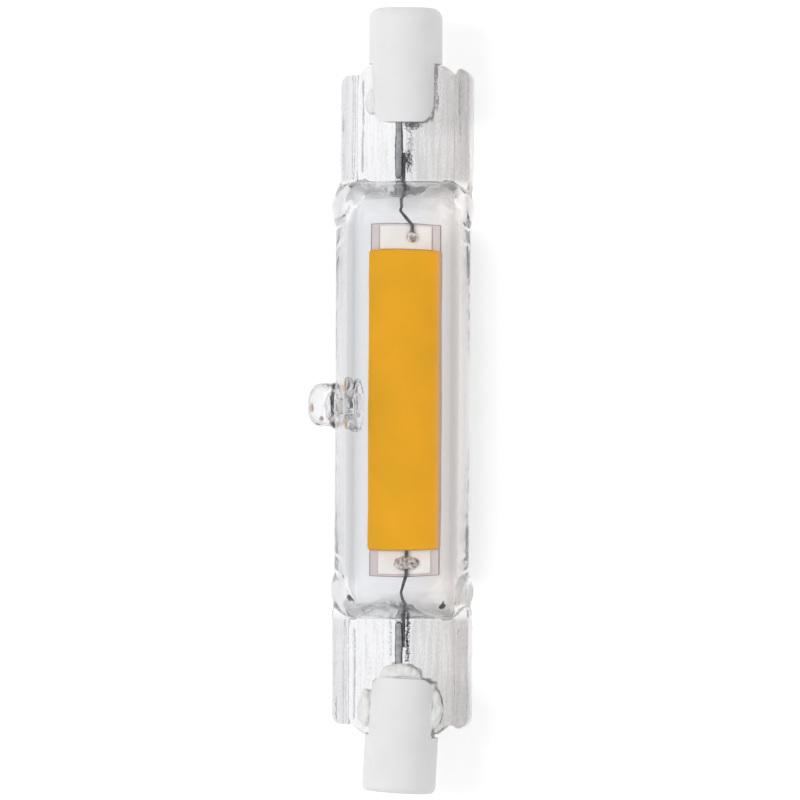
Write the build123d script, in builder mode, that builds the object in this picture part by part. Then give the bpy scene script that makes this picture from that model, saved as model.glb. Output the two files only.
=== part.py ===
from build123d import *
import os
from dataclasses import dataclass
from math import cos, radians, sin, sqrt

# A linear LED bulb of the 78 mm double-ended kind: a clear glass tube pressed flat at both ends,
# a ceramic cap with a recessed contact on each end, and one coated LED strip on its lead wires.
# Millimetres. The lamp lies along X, on the axis of its tube: the strip's coated side faces straight
# up, +Z, and the exhaust tip points to the front, -Y.

# Overall
lamp_length = 78.0
quarter_turn = 90

# Glass tube
tube_radius = 6.7
tube_wall = 1.0
form_overlap = 1.0

# Shoulders, where the round tube is drawn down to the flat press seal
shoulder_length = 4.4
shoulder_bulge = 0.5
shoulder_foot_inset = 0.2
shoulder_foot_depth = 1.9
void_end_gap = 0.6
void_end_width = 7.0
void_end_depth = 0.6
# Sections from the tube outwards: share of the shoulder's length, of its bulge, of the tube's radius
outside_profile = [(0, 0, 1), (0.3, 0.5, 0.94), (0.6, 1, 0.74), (0.88, 0.4, 0.42)]
# The same for the void: share of its length, and of the bore's radius across and in depth
inside_profile = [(0, 1, 1), (0.35, 1, 0.88), (0.7, 0.95, 0.55)]

# Press seals
seal_length = 10.7
seal_overlap = 1.1
tongue_reach = 0.9
tongue_clearance = 0.2
tongue_base_width = 9.6
tongue_tip_width = 7.6
tongue_round = 0.4
left_seal_width = 13.0
right_seal_width = 13.7
left_seal_shift = 0.35
right_seal_shift = 0.1
seal_corner_radius = 1.1
web_depth = 2.8
rail_depth = 4.0
rail_width = 1.4
rail_round = 0.6
rib_depth = 3.3
rib_width = 0.5
rib_round = 0.2
rib_gap = 0.25

# Exhaust tip, where the tube was pumped and melted shut
tip_distance = 0.55
tip_radius = 2.15
tip_reach = 2.8
tip_end_radius = 1.4
tip_bore_radius = 1.25
tip_bore_round = 0.6
tip_end_wall = 1.5
tip_flare = 0.7
collar_radius = 2.7
collar_taper = 0.5
collar_reach = 1.7
collar_round = 0.3

# Ceramic caps
cap_radius = 3.65
cap_length = 11.4
slot_clearance = 0.5
slot_depth = 5.8
prong_draft = 1.0
nose_width = 1.3
left_nose_length = 2.4
right_nose_length = 1.3
left_rim_radius = 1.1
right_rim_radius = 0.6
left_cap_shift = 0.15
right_cap_shift = 0.1
right_cap_lean = 3.1

# Recessed contacts
recess_radius = 1.75
recess_depth = 1.55
recess_chamfer = 0.25
contact_radius = 1.4
contact_thickness = 0.4
contact_round = 0.2
stem_radius = 0.95
stem_length = 1.0
seat_clearance = 0.1

# Lead rods and wires
rod_radius = 0.35
rod_gap = 1.1
left_rod_offset = 0.45
right_rod_offset = 0.2
wire_radius = 0.18
wire_lift = 0.04
wire_bend_radius = 0.5
weld_bite = 0.04
weld_length = 2.5
throat_radius = 0.6
throat_reach = 0.4
throat_length = 2.0
left_kink_offset = 0.4
right_kink_offset = 0.0
kink_gap = 1.8
joint_gap = 1.3
wire_straight = 1.2
left_wire_run = 0.3
right_wire_tuck = 0.35
left_joint_offset = -0.87
right_joint_offset = -0.45

# LED strip
strip_reach = 0.5
strip_width = 7.1
strip_thickness = 0.6
strip_setback = 0.5
strip_shift = 0.2
bare_length = 2.7
pad_margin = 0.3
pad_side_margin = 0.85
pad_underlap = 0.6
pad_thickness = 0.06
coat_overhang = 0.15
coat_wrap = 0.3
coat_thickness = 1.0
coat_edge_height = 0.6
coat_edge_radius = 0.3
chip_end_margin = 1.3
chip_pitch = 1.05
chip_row_spacing = 2.4
chip_length = 0.7
chip_width = 0.35
chip_thickness = 0.15
die_thickness = 0.25
die_inset = 0.8
rectifier_size = 1.2
regulator_length = 1.4
regulator_width = 0.9

# Solder on the strip's pads
bead_length = 1.2
bead_width = 1.2
bead_height = 0.6
lens_length = 1.5
lens_width = 2.7
lens_height = 0.6

# Cement between caps and glass
cement_inset = 0.5
cement_edge_gap = 0.3
squeeze_reach = 1.5
squeeze_width = 5.0
squeeze_spread = 0.4
wing_length = 4.8
wing_width = 2.0
wing_spread = 0.3
wing_setback = 3.0


# Directions across the lamp: out of the strip's coated face, and from the axis to the exhaust tip
facing = Vector(0, 0, 1)
to_tip = Vector(0, -1, 0)

# Distances from the lamp's middle, from the caps inwards: the tube takes what length is left
recess_floor = lamp_length / 2 - recess_depth
stem_end = recess_floor - contact_thickness - stem_length
slot_floor = lamp_length / 2 - cap_length + slot_depth
nose_distance = slot_floor - slot_depth
wing_distance = nose_distance + wing_setback
tongue_end = slot_floor - tongue_clearance
seal_end = tongue_end - tongue_reach
shoulder_end = seal_end - seal_length
seal_root = shoulder_end - seal_overlap
void_end = shoulder_end - void_end_gap
tube_half_length = shoulder_end - shoulder_length
rod_start = void_end + rod_gap
weld_end = rod_start + weld_length
throat_start = void_end - throat_reach
kink_distance = void_end - kink_gap

# The strip fills the tube's length, and its coat and pads follow its ends
strip_length = 2 * (tube_half_length + strip_reach)
coat_length = strip_length - 2 * bare_length
pad_length = bare_length - pad_margin + pad_underlap
pad_width = strip_width - 2 * pad_side_margin
pad_middle = strip_length / 2 - pad_margin - pad_length / 2
joint_distance = coat_length / 2 + joint_gap
right_wire_run = joint_gap + right_wire_tuck
chip_count = int((coat_length - 2 * chip_end_margin) / chip_pitch)

# Heights in front of the axis, and widths that fits set
strip_face = -strip_setback
pad_face = strip_face + pad_thickness
lead_height = pad_face + wire_lift + wire_radius
bore_radius = tube_radius - tube_wall
slot_width = web_depth + 2 * slot_clearance
squeeze_depth = slot_width + 2 * squeeze_spread
wing_depth = slot_width + 2 * wing_spread
prong_half_width = sqrt(cap_radius**2 - (slot_width / 2) ** 2)


@dataclass
class End:
    """What differs between the two ends of the lamp. way is the end's direction along X."""

    way: int
    seal_width: float
    seal_shift: float
    cap_shift: float
    cap_lean: float
    nose_length: float
    rim_radius: float
    rod_offset: float
    kink_offset: float
    joint_offset: float
    wire_run: float


LEFT = End(
    way=-1,
    seal_width=left_seal_width,
    seal_shift=left_seal_shift,
    cap_shift=left_cap_shift,
    cap_lean=0,
    nose_length=left_nose_length,
    rim_radius=left_rim_radius,
    rod_offset=left_rod_offset,
    kink_offset=left_kink_offset,
    joint_offset=left_joint_offset,
    wire_run=left_wire_run,
)
RIGHT = End(
    way=1,
    seal_width=right_seal_width,
    seal_shift=right_seal_shift,
    cap_shift=right_cap_shift,
    cap_lean=right_cap_lean,
    nose_length=right_nose_length,
    rim_radius=right_rim_radius,
    rod_offset=right_rod_offset,
    kink_offset=right_kink_offset,
    joint_offset=right_joint_offset,
    wire_run=right_wire_run,
)


def outwards(end):
    """The axis along the lamp towards one end, to sort its edges and faces by."""
    return Axis((0, 0, 0), (end.way, 0, 0))


def station(end, distance, offset=0):
    """A plane square to the lamp, a distance from its middle: y towards the tip, z outwards."""
    origin = Vector(end.way * distance, 0, 0) + to_tip * offset
    return Plane(origin=origin, x_dir=facing * end.way, z_dir=(end.way, 0, 0))


def flat_plane(end, height=0.0, offset=0.0):
    """A plane flat along the strip, a height in front of the lamp's axis: x outwards, y to the tip."""
    origin = facing * height + to_tip * offset
    return Plane(origin=origin, x_dir=(end.way, 0, 0), z_dir=facing * -end.way)


def cap_station(end, distance):
    """A plane square to a cap's own axis, which may lean: y towards the tip, z outwards."""
    lean = radians(end.cap_lean)
    axis = Vector(end.way * cos(lean), 0, 0) + to_tip * sin(lean)
    pivot = Vector(end.way * slot_floor, 0, 0) - to_tip * end.cap_shift
    floor = Plane(origin=pivot, x_dir=facing * end.way, z_dir=axis)
    return floor.offset(distance - slot_floor)


def cap_flat_plane(end):
    """The plane through a cap's axis and flat along the strip: x outwards, y towards the tip."""
    floor = cap_station(end, slot_floor)
    return Plane(origin=floor.origin, x_dir=floor.z_dir, z_dir=facing * -end.way)


def strip_plane(height):
    """A plane parallel to the strip's face, in its middle: x along the lamp, y away from the tip."""
    return Plane(origin=facing * height - to_tip * strip_shift, x_dir=(1, 0, 0), z_dir=facing)


def shoulder(end, sections):
    """A form that passes from round to a flat oval, through (distance, half width, half depth)."""
    with BuildPart() as form:
        for distance, half_width, half_depth in sections:
            with BuildSketch(station(end, distance)):
                with BuildLine():
                    EllipticalCenterArc((0, 0), half_depth, half_width, 0, arc_size=2 * quarter_turn)
                    EllipticalCenterArc((0, 0), half_depth, half_width, 2 * quarter_turn, arc_size=2 * quarter_turn)
                make_face()
        loft()
    return form


def press_seal(end):
    """One pressed end of the tube: a web between two thick rails, with a tongue for the cap's slot."""
    half = end.seal_width / 2
    rail_place = half - rail_width / 2
    rib_place = half - rail_width - rib_gap - rib_width / 2
    with BuildPart() as seal:
        with BuildSketch(station(end, seal_root, -end.seal_shift)):
            Rectangle(web_depth, end.seal_width - rail_width)
            with Locations((0, rail_place), (0, -rail_place)):
                RectangleRounded(rail_depth, rail_width, rail_round)
            with Locations((0, rib_place), (0, -rib_place)):
                RectangleRounded(rib_depth, rib_width, rib_round)
        extrude(amount=tongue_end - seal_root)
        with BuildSketch(flat_plane(end, offset=-end.seal_shift)):
            with BuildLine():
                outline = FilletPolyline(
                    (seal_root, -half),
                    (seal_end, -half),
                    (seal_end, -tongue_base_width / 2),
                    (tongue_end, -tongue_tip_width / 2),
                    (tongue_end, tongue_tip_width / 2),
                    (seal_end, tongue_base_width / 2),
                    (seal_end, half),
                    (seal_root, half),
                    radius=[seal_corner_radius] + [tongue_round] * 4 + [seal_corner_radius],
                )
                Line(outline @ 1, outline @ 0)
            make_face()
        extrude(amount=rail_depth, both=True, mode=Mode.INTERSECT)
    return seal


def end_cap(end):
    """A ceramic cap: a round body, two prongs either side of a slot, a recess and a stem hole."""
    nose = nose_distance - slot_floor
    shoulder_at = nose + end.nose_length
    flat = prong_half_width - nose_width
    floor = cap_station(end, slot_floor)
    inwards = Plane(origin=floor.origin, x_dir=floor.x_dir, z_dir=-floor.z_dir)
    with BuildPart() as cap:
        with BuildSketch(floor):
            Circle(cap_radius)
        extrude(amount=cap_length - slot_depth)
        fillet(cap.faces().sort_by(outwards(end))[-1].edges(), end.rim_radius)
        with BuildSketch(inwards):
            Circle(cap_radius)
        extrude(amount=slot_depth, taper=prong_draft)
        with BuildSketch(inwards):
            Rectangle(slot_width, 3 * cap_radius)
        extrude(amount=2 * slot_depth, mode=Mode.SUBTRACT)
        # Rounded corners at the prongs' free ends
        with BuildSketch(cap_flat_plane(end)):
            for side in (1, -1):
                with BuildLine():
                    corner = EllipticalCenterArc(
                        (shoulder_at, side * flat),
                        end.nose_length,
                        nose_width,
                        2 * quarter_turn,
                        arc_size=-quarter_turn * side,
                    )
                    Polyline(
                        corner @ 1,
                        (shoulder_at, side * 2 * cap_radius),
                        (nose - form_overlap, side * 2 * cap_radius),
                        (nose - form_overlap, side * flat),
                        corner @ 0,
                    )
                make_face()
        extrude(amount=cap_radius, both=True, mode=Mode.SUBTRACT)
        with BuildSketch(cap_station(end, recess_floor)):
            Circle(recess_radius)
        extrude(amount=recess_depth, mode=Mode.SUBTRACT)
        mouth = cap.faces().sort_by(outwards(end))[-1].inner_wires()[0]
        chamfer(mouth.edges(), recess_chamfer)
        # The contact's seat, flush with the recess floor, and its stem's hole
        with BuildSketch(cap_station(end, recess_floor)):
            Circle(contact_radius + seat_clearance)
        extrude(amount=-contact_thickness, mode=Mode.SUBTRACT)
        with BuildSketch(cap_station(end, recess_floor)):
            Circle(stem_radius + seat_clearance)
        extrude(amount=slot_floor - recess_floor, mode=Mode.SUBTRACT)
    return cap


def recessed_contact(end):
    """A metal button flush with the recess floor, with a stem down into the cap."""
    with BuildPart() as contact:
        with BuildSketch(cap_station(end, recess_floor)):
            Circle(contact_radius)
        extrude(amount=-contact_thickness)
        fillet(contact.faces().sort_by(outwards(end))[-1].edges(), contact_round)
        with BuildSketch(cap_station(end, recess_floor - contact_thickness)):
            Circle(stem_radius)
        extrude(amount=-stem_length)
    return contact


def outer_lead(end, contact):
    """The rod from the contact's stem down through the cap and into the press seal."""
    with BuildPart() as rod:
        with BuildSketch(station(end, rod_start, end.rod_offset)):
            with Locations((end.way * lead_height, 0)):
                Circle(rod_radius)
        extrude(amount=stem_end + stem_length / 2 - rod_start)
        add(contact.part, mode=Mode.SUBTRACT)
    return rod


def inner_lead(end, rod):
    """The thin wire welded along the rod, through the shoulder and on to the strip's pad."""
    weld_offset = end.rod_offset - rod_radius - wire_radius + weld_bite
    with BuildPart() as wire:
        with BuildLine(flat_plane(end, lead_height)) as route:
            FilletPolyline(
                (weld_end, weld_offset),
                (throat_start, weld_offset),
                (kink_distance, end.kink_offset),
                (joint_distance + wire_straight, end.joint_offset),
                (joint_distance - end.wire_run, end.joint_offset),
                radius=wire_bend_radius,
            )
        with BuildSketch(Plane(origin=route.line @ 0, z_dir=route.line % 0)):
            Circle(wire_radius)
        sweep(path=route.line)
        add(rod.part, mode=Mode.SUBTRACT)
    return wire


def pad(end):
    """A thin metal pad on the strip's face, running a little way under the coat."""
    with BuildPart() as film:
        with BuildSketch(strip_plane(strip_face)):
            with Locations((end.way * pad_middle, 0)):
                Rectangle(pad_length, pad_width)
        extrude(amount=pad_thickness)
    return film


def joint_plane(end):
    """The plane on the pad's face where a wire is soldered: x along the lamp, y across the strip."""
    origin = Vector(end.way * joint_distance, 0, 0) + to_tip * end.joint_offset
    return Plane(origin=origin + facing * pad_face, x_dir=(1, 0, 0), z_dir=facing)


def solder(end, wire, length, width, height):
    """A rounded drop of solder on the pad, around the wire."""
    place = joint_plane(end)
    drop = place * scale(Sphere(0.5), by=(length, width, 2 * height))
    with BuildPart() as joint:
        add(drop)
        split(bisect_by=place, keep=Keep.TOP)
        add(wire.part, mode=Mode.SUBTRACT)
    return joint


def cement(end, envelope, cap, rod, squeezed):
    """The cement in a cap's slot, squeezed out over the prongs' ends and beside them where plentiful."""
    start = nose_distance + cement_inset
    drops = []
    if squeezed:
        nose = station(end, nose_distance, -end.cap_shift)
        drops.append(nose * scale(Sphere(0.5), by=(squeeze_depth, squeeze_width, 2 * squeeze_reach)))
        for side in (1, -1):
            beside = station(end, wing_distance, side * prong_half_width - end.cap_shift)
            drops.append(beside * scale(Sphere(0.5), by=(wing_depth, wing_width, wing_length)))
    with BuildPart() as filling:
        with BuildSketch(cap_station(end, slot_floor)):
            Rectangle(slot_width, 2 * (prong_half_width - cement_edge_gap))
        extrude(amount=start - slot_floor)
        for drop in drops:
            add(drop)
        add(cap.part, mode=Mode.SUBTRACT)
        add(envelope.part, mode=Mode.SUBTRACT)
        add(rod.part, mode=Mode.SUBTRACT)
    return filling


# Contacts, caps and lead wires
left_cap = end_cap(LEFT)
right_cap = end_cap(RIGHT)
left_contact = recessed_contact(LEFT)
right_contact = recessed_contact(RIGHT)
left_outer_lead = outer_lead(LEFT, left_contact)
right_outer_lead = outer_lead(RIGHT, right_contact)
left_inner_lead = inner_lead(LEFT, left_outer_lead)
right_inner_lead = inner_lead(RIGHT, right_outer_lead)

# Glass envelope: tube, shoulders and press seals in one piece, then the void, the tip and the leads
outside_sections = [(tube_half_length - form_overlap, tube_radius, tube_radius)]
for along, bulge, depth in outside_profile:
    place = tube_half_length + along * shoulder_length
    outside_sections.append((place, tube_radius + bulge * shoulder_bulge, depth * tube_radius))
outside_sections.append((shoulder_end, tube_radius - shoulder_foot_inset, shoulder_foot_depth))
inside_sections = [(tube_half_length - form_overlap, bore_radius, bore_radius)]
for along, width, depth in inside_profile:
    place = tube_half_length + along * (void_end - tube_half_length)
    inside_sections.append((place, width * bore_radius, depth * bore_radius))
inside_sections.append((void_end, void_end_width / 2, void_end_depth / 2))
solid_forms = [shoulder(LEFT, outside_sections), shoulder(RIGHT, outside_sections)]
solid_forms += [press_seal(LEFT), press_seal(RIGHT)]
void_forms = [shoulder(LEFT, inside_sections), shoulder(RIGHT, inside_sections)]
tip_section = Plane(origin=(tip_distance, 0, 0), x_dir=(1, 0, 0), z_dir=facing * -1)
tip_end = tube_radius + tip_reach

with BuildPart() as glass_envelope:
    with BuildSketch(station(LEFT, tube_half_length - form_overlap)):
        Circle(tube_radius)
    extrude(amount=-2 * (tube_half_length - form_overlap))
    for form in solid_forms:
        add(form.part)
    # The tip's outside, flared where it joins the tube and melted round at its end
    with BuildSketch(tip_section):
        with BuildLine():
            base = FilletPolyline(
                (0, tip_end),
                (tip_radius, tip_end),
                (tip_radius, tube_radius + tip_flare / 2),
                (tip_radius + tip_flare, tube_radius - tip_flare),
                radius=[tip_end_radius, tip_flare],
            )
            Polyline(base @ 1, (0, tube_radius - tip_flare), (0, tip_end))
        make_face()
    revolve(axis=Axis((tip_distance, 0, 0), to_tip))
    # The void
    with BuildSketch(station(LEFT, tube_half_length - form_overlap)):
        Circle(bore_radius)
    extrude(amount=-2 * (tube_half_length - form_overlap), mode=Mode.SUBTRACT)
    for form in void_forms:
        add(form.part, mode=Mode.SUBTRACT)
    # The collar that the tip's tube pushed inwards, and the bore through both
    with BuildSketch(tip_section):
        with BuildLine():
            FilletPolyline(
                (0, bore_radius + tube_wall / 2),
                (collar_radius, bore_radius + tube_wall / 2),
                (collar_radius - collar_taper, bore_radius - collar_reach),
                (0, bore_radius - collar_reach),
                radius=[0, collar_round],
                close=False,
            )
            Line((0, bore_radius - collar_reach), (0, bore_radius + tube_wall / 2))
        make_face()
    revolve(axis=Axis((tip_distance, 0, 0), to_tip))
    with BuildSketch(tip_section):
        with BuildLine():
            FilletPolyline(
                (0, bore_radius - collar_reach),
                (tip_bore_radius, bore_radius - collar_reach),
                (tip_bore_radius, tip_end - tip_end_wall),
                (0, tip_end - tip_end_wall),
                radius=[0, tip_bore_round],
                close=False,
            )
            Line((0, tip_end - tip_end_wall), (0, bore_radius - collar_reach))
        make_face()
    revolve(axis=Axis((tip_distance, 0, 0), to_tip), mode=Mode.SUBTRACT)
    # Throats and channels of the leads
    for end, rod, wire in (
        (LEFT, left_outer_lead, left_inner_lead),
        (RIGHT, right_outer_lead, right_inner_lead),
    ):
        with BuildSketch(station(end, throat_start, end.rod_offset - rod_radius)):
            with Locations((end.way * lead_height, 0)):
                Circle(throat_radius)
        extrude(amount=throat_length, mode=Mode.SUBTRACT)
        add(rod.part, mode=Mode.SUBTRACT)
        add(wire.part, mode=Mode.SUBTRACT)

left_cement = cement(LEFT, glass_envelope, left_cap, left_outer_lead, squeezed=False)
right_cement = cement(RIGHT, glass_envelope, right_cap, right_outer_lead, squeezed=True)

# LED strip: a ceramic plate with a pad at each end, two rows of chips and two dies under one coat
with BuildPart() as led_substrate:
    with BuildSketch(strip_plane(strip_face)):
        Rectangle(strip_length, strip_width)
    extrude(amount=-strip_thickness)

left_pad = pad(LEFT)
right_pad = pad(RIGHT)

with BuildPart() as led_chips:
    with BuildSketch(strip_plane(strip_face)):
        with GridLocations(chip_pitch, chip_row_spacing, chip_count, 2):
            Rectangle(chip_length, chip_width)
    extrude(amount=chip_thickness)

with BuildPart() as rectifier_die:
    with BuildSketch(strip_plane(strip_face)):
        with Locations((-coat_length / 2 + die_inset + rectifier_size / 2, 0)):
            Rectangle(rectifier_size, rectifier_size)
    extrude(amount=die_thickness)

with BuildPart() as regulator_die:
    with BuildSketch(strip_plane(strip_face)):
        with Locations((coat_length / 2 - die_inset - regulator_length / 2, 0)):
            Rectangle(regulator_length, regulator_width)
    extrude(amount=die_thickness)

coat_half_width = strip_width / 2 + coat_overhang
coat_section = Plane(
    origin=Vector(-coat_length / 2, 0, 0) - to_tip * strip_shift + facing * strip_face,
    x_dir=to_tip * -1,
    z_dir=(1, 0, 0),
)
with BuildPart() as phosphor_coat:
    with BuildSketch(coat_section) as section:
        with BuildLine():
            crown = ThreePointArc(
                (-coat_half_width, coat_edge_height), (0, coat_thickness), (coat_half_width, coat_edge_height)
            )
            Polyline(crown @ 1, (coat_half_width, -coat_wrap), (-coat_half_width, -coat_wrap), crown @ 0)
        make_face()
        fillet(section.vertices().group_by(Axis.Y)[-1], coat_edge_radius)
    extrude(amount=coat_length)
    for under in (led_substrate, left_pad, right_pad, led_chips, rectifier_die, regulator_die):
        add(under.part, mode=Mode.SUBTRACT)
    add(left_inner_lead.part, mode=Mode.SUBTRACT)
    add(right_inner_lead.part, mode=Mode.SUBTRACT)

left_solder = solder(LEFT, left_inner_lead, bead_length, bead_width, bead_height)
right_solder = solder(RIGHT, right_inner_lead, lens_length, lens_width, lens_height)

pieces = {
    "glass_envelope": glass_envelope,
    "left_cap": left_cap,
    "right_cap": right_cap,
    "left_contact": left_contact,
    "right_contact": right_contact,
    "left_cement": left_cement,
    "right_cement": right_cement,
    "left_outer_lead": left_outer_lead,
    "right_outer_lead": right_outer_lead,
    "left_inner_lead": left_inner_lead,
    "right_inner_lead": right_inner_lead,
    "led_substrate": led_substrate,
    "left_pad": left_pad,
    "right_pad": right_pad,
    "led_chips": led_chips,
    "rectifier_die": rectifier_die,
    "regulator_die": regulator_die,
    "phosphor_coat": phosphor_coat,
    "left_solder": left_solder,
    "right_solder": right_solder,
}

os.makedirs("parts", exist_ok=True)
for name, piece in pieces.items():
    piece.part.label = name
    export_step(piece.part, f"parts/{name}.step")
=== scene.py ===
"""Looks of a double-ended linear LED bulb, 78 mm long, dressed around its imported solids.

The lamp lies along X on a pale floor. Its strip faces up, +Z, and its exhaust tip points to -Y.
Sizes are in millimetres, as a glass worker would give them, and MM brings them to metres.
"""

import logging
from collections.abc import Callable
from dataclasses import dataclass, replace
from enum import Enum
from math import cos, pi, radians, sin, sqrt
from random import Random

import bmesh
import bpy
from mathutils import Matrix, Vector


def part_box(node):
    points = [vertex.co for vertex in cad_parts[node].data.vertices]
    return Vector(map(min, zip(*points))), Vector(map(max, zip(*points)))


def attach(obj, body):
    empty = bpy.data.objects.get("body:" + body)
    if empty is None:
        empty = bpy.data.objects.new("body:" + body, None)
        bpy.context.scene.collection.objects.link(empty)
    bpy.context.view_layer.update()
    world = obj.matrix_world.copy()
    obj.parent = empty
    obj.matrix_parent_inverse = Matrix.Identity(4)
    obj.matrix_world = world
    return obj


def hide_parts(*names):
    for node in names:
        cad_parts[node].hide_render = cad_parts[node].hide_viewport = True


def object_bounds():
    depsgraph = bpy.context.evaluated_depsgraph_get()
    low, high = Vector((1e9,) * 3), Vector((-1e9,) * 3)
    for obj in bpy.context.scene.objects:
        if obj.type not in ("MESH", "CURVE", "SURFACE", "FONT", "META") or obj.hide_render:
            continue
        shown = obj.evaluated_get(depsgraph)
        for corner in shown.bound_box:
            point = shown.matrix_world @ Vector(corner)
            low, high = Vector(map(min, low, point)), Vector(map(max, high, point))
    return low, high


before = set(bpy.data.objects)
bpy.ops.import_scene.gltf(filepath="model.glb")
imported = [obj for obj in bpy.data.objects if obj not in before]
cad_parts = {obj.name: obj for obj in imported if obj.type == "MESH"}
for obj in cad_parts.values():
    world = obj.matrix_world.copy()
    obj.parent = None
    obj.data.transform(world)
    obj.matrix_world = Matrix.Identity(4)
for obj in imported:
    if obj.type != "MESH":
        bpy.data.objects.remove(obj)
cad_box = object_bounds()

MM = 0.001
BODY = "root"
log = logging.getLogger("bulb")

Triple = tuple[float, float, float]
Piece = bpy.types.Object
Socket = bpy.types.NodeSocket

# What a test is told of a vertex (its place), an edge (middle and direction) or a face (centre and normal)
MEASURES = {
    "VERT": lambda vertex: (vertex.co,),
    "EDGE": lambda edge: (
        (edge.verts[0].co + edge.verts[1].co) / 2,
        (edge.verts[1].co - edge.verts[0].co).normalized(),
    ),
    "FACE": lambda face: (face.calc_center_median(), face.normal),
}


class End(Enum):
    """The two ends of the lamp, by their direction along X."""

    LEFT = -1
    RIGHT = 1

    @property
    def label(self) -> str:
        """The end's name as its nodes carry it."""
        return self.name.lower()


# Bench tools: selecting, adding and finishing meshes


def clear_selection() -> None:
    """Leave edit mode and deselect every object."""
    if bpy.context.object and bpy.context.object.mode != "OBJECT":
        bpy.ops.object.mode_set(mode="OBJECT")
    bpy.ops.object.select_all(action="DESELECT")


def take(piece: Piece) -> Piece:
    """Make one object the only selected and active one.

    Args:
        piece: the object to work on.

    Returns:
        The same object.
    """
    clear_selection()
    piece.select_set(True)
    bpy.context.view_layer.objects.active = piece
    return piece


def settle(piece: Piece, name: str) -> Piece:
    """Name a new object and put its place, turn and scale into its mesh.

    Args:
        piece: the object to settle.
        name: its name from now on.

    Returns:
        The same object, at the origin.
    """
    take(piece)
    piece.name = name
    piece.data.name = name
    bpy.ops.object.transform_apply(location=True, rotation=True, scale=True)
    return piece


def pick(piece: Piece, part: str, wanted: Callable[..., bool]) -> None:
    """Select, in edit mode, the vertices, edges or faces that pass a test.

    Args:
        piece: the object in edit mode.
        part: VERT, EDGE or FACE.
        wanted: a function that says whether to take one, by the measures that MEASURES gives.
    """
    bpy.ops.mesh.select_mode(type=part)
    bpy.ops.mesh.select_all(action="DESELECT")
    mesh = bmesh.from_edit_mesh(piece.data)
    for item in {"VERT": mesh.verts, "EDGE": mesh.edges, "FACE": mesh.faces}[part]:
        if wanted(*MEASURES[part](item)):
            item.select_set(True)
    if part == "VERT":
        mesh.select_flush_mode()
    bmesh.update_edit_mesh(piece.data)


def draw_out(step: Triple, scale: Triple, middle: Triple) -> None:
    """Extrude the selected faces, then scale their new place about a point.

    Args:
        step: how far they move along X, Y and Z, in millimetres.
        scale: how many times larger they become along X, Y and Z.
        middle: the point that stays in its place, in millimetres.
    """
    move = {"value": tuple(value * MM for value in step)}
    bpy.ops.mesh.extrude_region_move(TRANSFORM_OT_translate=move)
    bpy.ops.transform.resize(value=scale, center_override=tuple(value * MM for value in middle))


def modify(piece: Piece, kind: str, **settings) -> None:
    """Add a modifier with its settings and apply it.

    Args:
        piece: the object that is changed.
        kind: the modifier's type.
        settings: the modifier's properties.
    """
    take(piece)
    modifier = piece.modifiers.new(kind.lower(), kind)
    for key, value in settings.items():
        setattr(modifier, key, value)
    bpy.ops.object.modifier_apply(modifier=modifier.name)


def roughen(piece: Piece, size: Triple, depth: float, group: str = "") -> None:
    """Push a surface in and out along its normals by a cloudy pattern.

    Args:
        piece: the object that is changed.
        size: how large the pattern's lumps are along X, Y and Z.
        depth: how far the highest lump stands above the deepest hollow.
        group: the vertex group that is moved, or nothing for all.
    """
    clouds = bpy.data.textures.new("lumps", "CLOUDS")
    clouds.noise_scale = 1.0
    clouds.noise_depth = 1
    gauge = bpy.data.objects.new("gauge", None)
    gauge.scale = [value * MM for value in size]
    bpy.context.scene.collection.objects.link(gauge)
    bpy.context.view_layer.update()
    modify(
        piece, "DISPLACE", texture=clouds, texture_coords="OBJECT", texture_coords_object=gauge,
        strength=depth * MM, mid_level=0.5, vertex_group=group,
    )
    bpy.data.objects.remove(gauge)
    bpy.data.textures.remove(clouds)


def join(pieces: list[Piece], name: str) -> Piece:
    """Put several objects into one.

    Args:
        pieces: the objects, the first of which keeps its place.
        name: the name of the whole.

    Returns:
        The whole.
    """
    take(pieces[0])
    for piece in pieces[1:]:
        piece.select_set(True)
    bpy.ops.object.join()
    return settle(bpy.context.object, name)


def copy_solid(node: str, name: str) -> Piece:
    """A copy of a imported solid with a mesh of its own, its loose triangles merged.

    Args:
        node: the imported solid's name.
        name: the copy's name.

    Returns:
        The copy.
    """
    piece = bpy.data.objects.new(name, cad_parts[node].data.copy())
    piece.data.name = name
    bpy.context.scene.collection.objects.link(piece)
    take(piece)
    bpy.ops.object.mode_set(mode="EDIT")
    bpy.ops.mesh.select_all(action="SELECT")
    bpy.ops.mesh.remove_doubles(threshold=0.001 * MM)
    bpy.ops.mesh.normals_make_consistent(inside=False)
    bpy.ops.object.mode_set(mode="OBJECT")
    return piece


def apply_boolean(piece: Piece, tool: Piece, operation: str) -> None:
    """Join a tool to a piece, or cut it out, and throw the tool away.

    Args:
        piece: the object that is changed.
        tool: the object to join or cut out.
        operation: UNION or DIFFERENCE.
    """
    take(piece)
    modifier = piece.modifiers.new(operation.lower(), "BOOLEAN")
    modifier.operation = operation
    modifier.solver = "EXACT"
    modifier.object = tool
    bpy.ops.object.modifier_apply(modifier=modifier.name)
    bpy.data.objects.remove(tool)


def smooth(piece: Piece, angle: float) -> None:
    """Shade a piece smooth, with edges sharper than an angle in degrees left hard."""
    take(piece)
    bpy.ops.object.shade_smooth_by_angle(angle=radians(angle))


def dress(piece: Piece, material: bpy.types.Material) -> None:
    """Give a piece one material and no other."""
    piece.data.materials.clear()
    piece.data.materials.append(material)


def seat(piece: Piece, slot: str, *nodes: str) -> None:
    """Let a new piece ride on the lamp, and hide the nodes that it stands for.

    Args:
        piece: the finished piece.
        slot: the record's material slot; not used.
        nodes: the solids that the piece replaces.
    """
    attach(piece, BODY)
    if nodes:
        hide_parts(*nodes)
    log.info("%s: %d faces", piece.name, len(piece.data.polygons))


# Finishes


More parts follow.
